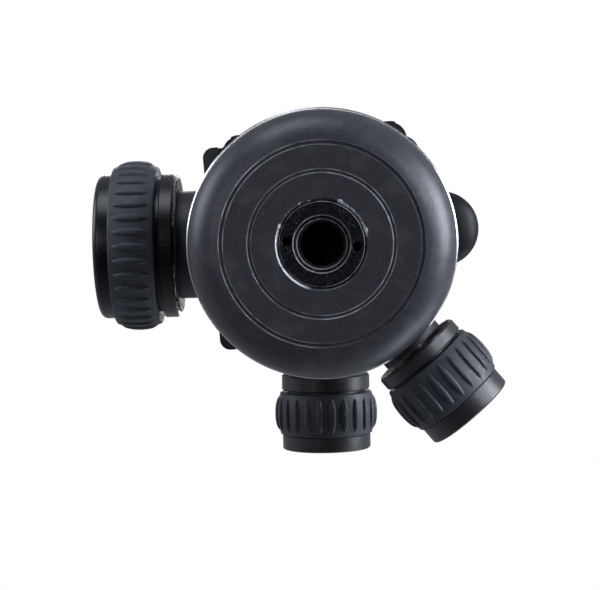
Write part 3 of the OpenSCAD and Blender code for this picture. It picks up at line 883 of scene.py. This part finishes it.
def add_scale_marks():
    """Seventy-two ticks on the bright ring, longer at each ten degrees."""
    ring_r = PAN_AXLE.radii("scale_ring")[1]
    low, high = bottom("scale_ring") + 0.5 * MM, top("scale_ring")
    proud, sunk, half = 0.02 * MM, 0.1 * MM, 0.11 * MM
    verts, faces = [], []
    for k in range(72):
        foot = high - (high - low) * (0.92 if k % 2 == 0 else 0.5)
        head = high - 0.05 * MM
        faces += block_faces(len(verts))
        for r in (ring_r - sunk, ring_r + proud):
            for x, z in ((-half, foot), (half, foot), (half, head), (-half, head)):
                verts.append(on_drum(r, math.radians(5 * k), x, z))
    return add_piece(
        "scale_ticks", verts, faces, "housing", "black_oxide_steel", MARK_BLACK, 30
    )


def add_scale_numbers():
    """Plain degree numbers on the housing's shoulder, every thirty degrees."""
    drum_r = 24.8 * MM
    size, thick, z = 2.3625 * MM, 0.03 * MM, 11.0 * MM
    verts, faces = [], []
    for degrees in range(0, 360, 30):
        curve = bpy.data.curves.new("number", "FONT")
        curve.body = str(degrees)
        curve.size, curve.align_x, curve.extrude = size, "CENTER", thick
        curve.resolution_u = 3
        source = bpy.data.objects.new("number", curve)
        SCENE.collection.objects.link(source)
        graph = bpy.context.evaluated_depsgraph_get()
        flat = bpy.data.meshes.new_from_object(source.evaluated_get(graph), depsgraph=graph)
        base = len(verts)
        for v in flat.vertices:
            verts.append(on_drum(drum_r + v.co.z, math.radians(degrees), v.co.x, z + v.co.y))
        faces += [tuple(base + i for i in p.vertices) for p in flat.polygons]
        bpy.data.objects.remove(source)
    return add_piece(
        "scale_numbers", verts, faces, "housing", "housing_coat", MARK_WHITE, 30
    )


def add_index_mark():
    """A white line on the base's rim that the scale is read against."""
    disc_r = PAN_AXLE.radii("base_disc")[1]
    high = top("base_disc")
    half, sunk, proud, rim_curve = 0.16 * MM, 0.15 * MM, 0.015 * MM, 7 * MM
    verts, faces = [], []
    rows = spread(high - 2.6 * MM, high - 0.1 * MM, 8)
    for deep in (sunk, -proud):
        for z in rows:
            drop = max(0.0, high - MM - z)
            rim = disc_r - rim_curve + math.sqrt(rim_curve ** 2 - drop ** 2)
            for side in (-1, 1):
                verts.append(on_drum(rim - deep, -math.pi / 2, side * half, z))
    count = len(rows)
    for i in range(count - 1):
        a, b = 2 * i, 2 * (count + i)
        faces.append((a, a + 2, a + 3, a + 1))
        faces.append((b, b + 1, b + 3, b + 2))
        faces.append((a, b, b + 2, a + 2))
        faces.append((a + 1, a + 3, b + 3, b + 1))
    last, over = 2 * (count - 1), 2 * count
    faces.append((0, 1, over + 1, over))
    faces.append((last, over + last, over + last + 1, last + 1))
    return add_piece("index_mark", verts, faces, "base", "base_anodised", MARK_WHITE, 30)


# ---------- carried-over CAD nodes ----------


def dress(node, finish, bevel=0.0, angle=38):
    """Gives a CAD node its material, and breaks its sharp edges if asked."""
    obj = NODES[node]
    obj.data.materials.clear()
    obj.data.materials.append(finish.mat)
    for polygon in obj.data.polygons:
        polygon.material_index = 0
    if bevel:
        modifier = obj.modifiers.new("edges", "BEVEL")
        modifier.width, modifier.segments = bevel, 2
        modifier.limit_method, modifier.angle_limit = "ANGLE", math.radians(angle)
        modifier.use_clamp_overlap = True
        modifier.harden_normals = False


# ---------- light, floor and camera ----------


def add_light(name, place, size, power, tint=(0.88, 0.92, 1.0), aim=(0, 0, 0.04)):
    data = bpy.data.lights.new(name, "AREA")
    data.shape, data.size, data.energy = "DISK", size, power
    data.color = tint
    light = bpy.data.objects.new(name, data)
    SCENE.collection.objects.link(light)
    light.location = place
    light.rotation_mode = "QUATERNION"
    away = Vector(place) - Vector(aim)
    light.rotation_quaternion = away.to_track_quat("Z", "Y")


def add_world():
    """White to the camera. What lights the object is dim below the horizon and paler above."""
    world = bpy.data.worlds.new("studio")
    SCENE.world = world
    world.use_nodes = True
    tree = world.node_tree
    white = tree.nodes["Background"]
    white.inputs["Color"].default_value = (1, 1, 1, 1)
    white.inputs["Strength"].default_value = 1.0
    sky = tree.nodes.new("ShaderNodeBackground")
    sky.inputs["Color"].default_value = (0.86, 0.91, 1.0, 1)
    direction = tree.nodes.new("ShaderNodeTexCoord").outputs["Generated"]
    split = tree.nodes.new("ShaderNodeSeparateXYZ")
    fade = tree.nodes.new("ShaderNodeMapRange")
    fade.inputs["From Min"].default_value, fade.inputs["From Max"].default_value = -0.9, 0.1
    fade.inputs["To Min"].default_value, fade.inputs["To Max"].default_value = SKY
    tree.links.new(direction, split.inputs[0])
    tree.links.new(split.outputs["Z"], fade.inputs["Value"])
    tree.links.new(fade.outputs["Result"], sky.inputs["Strength"])
    seen = tree.nodes.new("ShaderNodeLightPath").outputs["Is Camera Ray"]
    mix = tree.nodes.new("ShaderNodeMixShader")
    tree.links.new(seen, mix.inputs[0])
    tree.links.new(sky.outputs[0], mix.inputs[1])
    tree.links.new(white.outputs[0], mix.inputs[2])
    tree.links.new(mix.outputs[0], tree.nodes["World Output"].inputs["Surface"])


def add_floor():
    """A pale floor that fades to the white of the backdrop, and shows from above only."""
    size, drop = 3.0, 0.2 * MM
    fade_from, fade_to = 0.10, 0.42
    mesh = bpy.data.meshes.new("floor")
    corners = [(-size, -size, 0), (size, -size, 0), (size, size, 0), (-size, size, 0)]
    mesh.from_pydata(corners, [], [(0, 1, 2, 3)])
    floor = bpy.data.objects.new("floor", mesh)
    SCENE.collection.objects.link(floor)
    floor.location.z = -drop
    f = Finish("floor_pale", (0.86, 0.86, 0.87), 0.8)
    white = f.node("Emission")
    clear = f.node("BsdfTransparent")
    fading, seen = f.node("MixShader"), f.node("MixShader")
    f.link(f.ramp(f.radius_about(PAN_AXLE), fade_from, fade_to), fading.inputs[0])
    f.link(f.shader.outputs[0], fading.inputs[1])
    f.link(white.outputs[0], fading.inputs[2])
    f.link(f.node("NewGeometry").outputs["Backfacing"], seen.inputs[0])
    f.link(fading.outputs[0], seen.inputs[1])
    f.link(clear.outputs[0], seen.inputs[2])
    f.link(seen.outputs[0], f.tree.nodes["Material Output"].inputs["Surface"])
    mesh.materials.append(f.mat)
    floor.visible_shadow = False
    floor.visible_diffuse = False
    floor.visible_glossy = False


def add_camera():
    """Straight below the base, a little off its axis, with +Y up in the picture."""
    place = Vector((-1.14, 4.01, -310.0)) * MM
    roll, turn, nod = (math.radians(a) for a in (1.27, 0.98, 2.43))
    data = bpy.data.cameras.new("camera")
    data.sensor_width, data.lens = 36.0, 102.5
    data.clip_start, data.clip_end = 0.01, 20
    camera = bpy.data.objects.new("camera", data)
    SCENE.collection.objects.link(camera)
    lean = Matrix.Rotation(turn, 3, "Y") @ Matrix.Rotation(nod, 3, "X")
    ahead, up, right = lean @ UP, lean @ Vector((0, 1, 0)), lean @ Vector((-1, 0, 0))
    c, s = math.cos(roll), math.sin(roll)
    up, right = c * up + s * right, c * right - s * up
    facing = Matrix((right, up, -ahead)).transposed()
    camera.matrix_world = Matrix.Translation(place) @ facing.to_4x4()
    SCENE.camera = camera


SKY = (0.03, 0.36)
add_camera()
add_world()
add_floor()
SCENE.view_settings.view_transform = "Standard"
add_light("sky_side", (0.14, 0.57, -0.12), 0.35, 1.0)
add_light("left", (0.55, 0.22, 0.07), 0.35, 1.3)
add_light("right", (-0.57, 0.13, -0.06), 0.40, 4.8)
add_light("low_side", (-0.40, -0.42, 0.10), 0.40, 0.9)
add_light("front", (0.32, 0.14, -0.52), 0.30, 0.45)
add_light("front_right", (-0.40, 0.20, -0.38), 0.22, 0.9)
add_light("above", (0.06, 0.10, 0.78), 0.45, 4.0, (1, 1, 1))

RECESS_R = PAN_AXLE.radii("base_disc", 0, 0.5 * MM)[0]
# Radii of both edges of the inner groove and of the outer one, and how bright each edge's painted
# highlight is at its -X side and at its +X side.
GROOVE_EDGES = circles("base_disc", 0.06 * MM)[1:]
GROOVE_HIGHLIGHT_SIDES = ((1.0, 0.35), (1.0, 0.35), (0.12, 1.0), (0.12, 1.0))
# Light arcs of the recess's edge, partly bare metal and partly painted highlight: middle and half
# width in radians, and how little is chipped.
WORN_AND_LIT_ARCS = ((-0.45, 0.9, 0.36), (2.45, 0.62, 0.42), (0.9, 0.6, 0.55))
# Single chips: how far out of the recess's edge in mm, and at which angle in degrees.
CHIPS = [
    PAN_AXLE.at(0, RECESS_R + out * MM, math.radians(a))
    for out, a in ((0.2, 115), (0.15, 163), (0.1, 24))
]
SCUFF_AT = Vector((-15.0, -8.2, 0)) * MM
GRIP_RUBBER = {
    # painted light: the main grip's rubber is made lighter than the small knobs' grips, for the light
    # that falls on it
    "main_knob": rubber("main_grip_rubber", (0.037, 0.043, 0.054)),
    "friction_knob": rubber("friction_grip_rubber"),
    "pan_knob": rubber("pan_grip_rubber"),
}
RING_NUT = ring_nut_finish()
MARK_WHITE = painted_white("mark_white")
MARK_BLACK = blasted_black("mark_black")

COAT = coated("housing_coat")
CLAMP = blasted_black("clamp_anodised", colour=(0.022, 0.023, 0.027), roughness=0.4)
BOLT_OXIDE = oxide("screw_oxide")
BRIGHT = steel("bright_steel", (0.42, 0.43, 0.44), 0.32)
BRASS = steel("brass", (0.70, 0.55, 0.28), 0.26)
NYLON = nylon("white_nylon")

dress("base_disc", base_finish())
dress("scale_ring", scale_finish("scale_satin"))
dress("housing", COAT, 0.25 * MM)
dress("collar", blasted_black("collar_anodised", PAN_AXLE), 0.15 * MM)
dress("main_dust_disc", blasted_black("dust_disc_anodised"))
dress("ball", polished_black("ball_anodised"))
dress("ball_stem", blasted_black("stem_anodised", PAN_AXLE, roughness=0.3), 0.2 * MM)
dress("clamp_body", CLAMP, 0.3 * MM)
dress("fixed_jaw", CLAMP, 0.25 * MM)
dress("sliding_jaw", CLAMP, 0.25 * MM)
dress("camera_plate", blasted_black("plate_anodised", roughness=0.38), 0.25 * MM)
for name in ("main_knob", "friction_knob", "pan_knob"):
    core = knob_black(name + "_core_anodised", axle_of(name + "_turn"))
    dress(name + "_core", core, 0.15 * MM)
for name in ("collar_set_screw", "jaw_screws", "clamp_screw"):
    dress(name, BOLT_OXIDE, 0.1 * MM)
for name in (
    "pan_spindle", "pan_retaining_ring", "pan_wave_washer", "cup_spring_washer", "main_screw",
    "friction_screw", "pan_screw", "drawbolt", "guide_pins", "jaw_spring",
):
    dress(name, BRIGHT)
for name in ("upper_ball_seat", "main_bush", "friction_bush", "pan_bush", "main_shoe", "pan_shoe"):
    dress(name, BRASS)
for name in ("pan_glide_ring", "lower_ball_cup", "friction_pad", "screw_washer"):
    dress(name, NYLON)

add_grip("main_knob", 36, 0.80 * MM, 0.50 * MM, 24, 56, 0.45 * MM)
add_grip("friction_knob", 24, 0.68 * MM, 0.50 * MM, 26, 50, 0.4 * MM, 0.0)
add_grip("pan_knob", 24, 0.68 * MM, 0.50 * MM, 26, 50, 0.4 * MM, 0.0)
add_cap("main_knob", 1.3 * MM, 0.5 * MM)
add_cap("friction_knob", 0.5 * MM, 0.3 * MM)
add_cap("pan_knob", 0.5 * MM, 0.3 * MM)
add_thread_insert()
add_camera_screw()
add_clamp_knob()
add_plate_pad()
add_scale_marks()
add_scale_numbers()
add_index_mark()
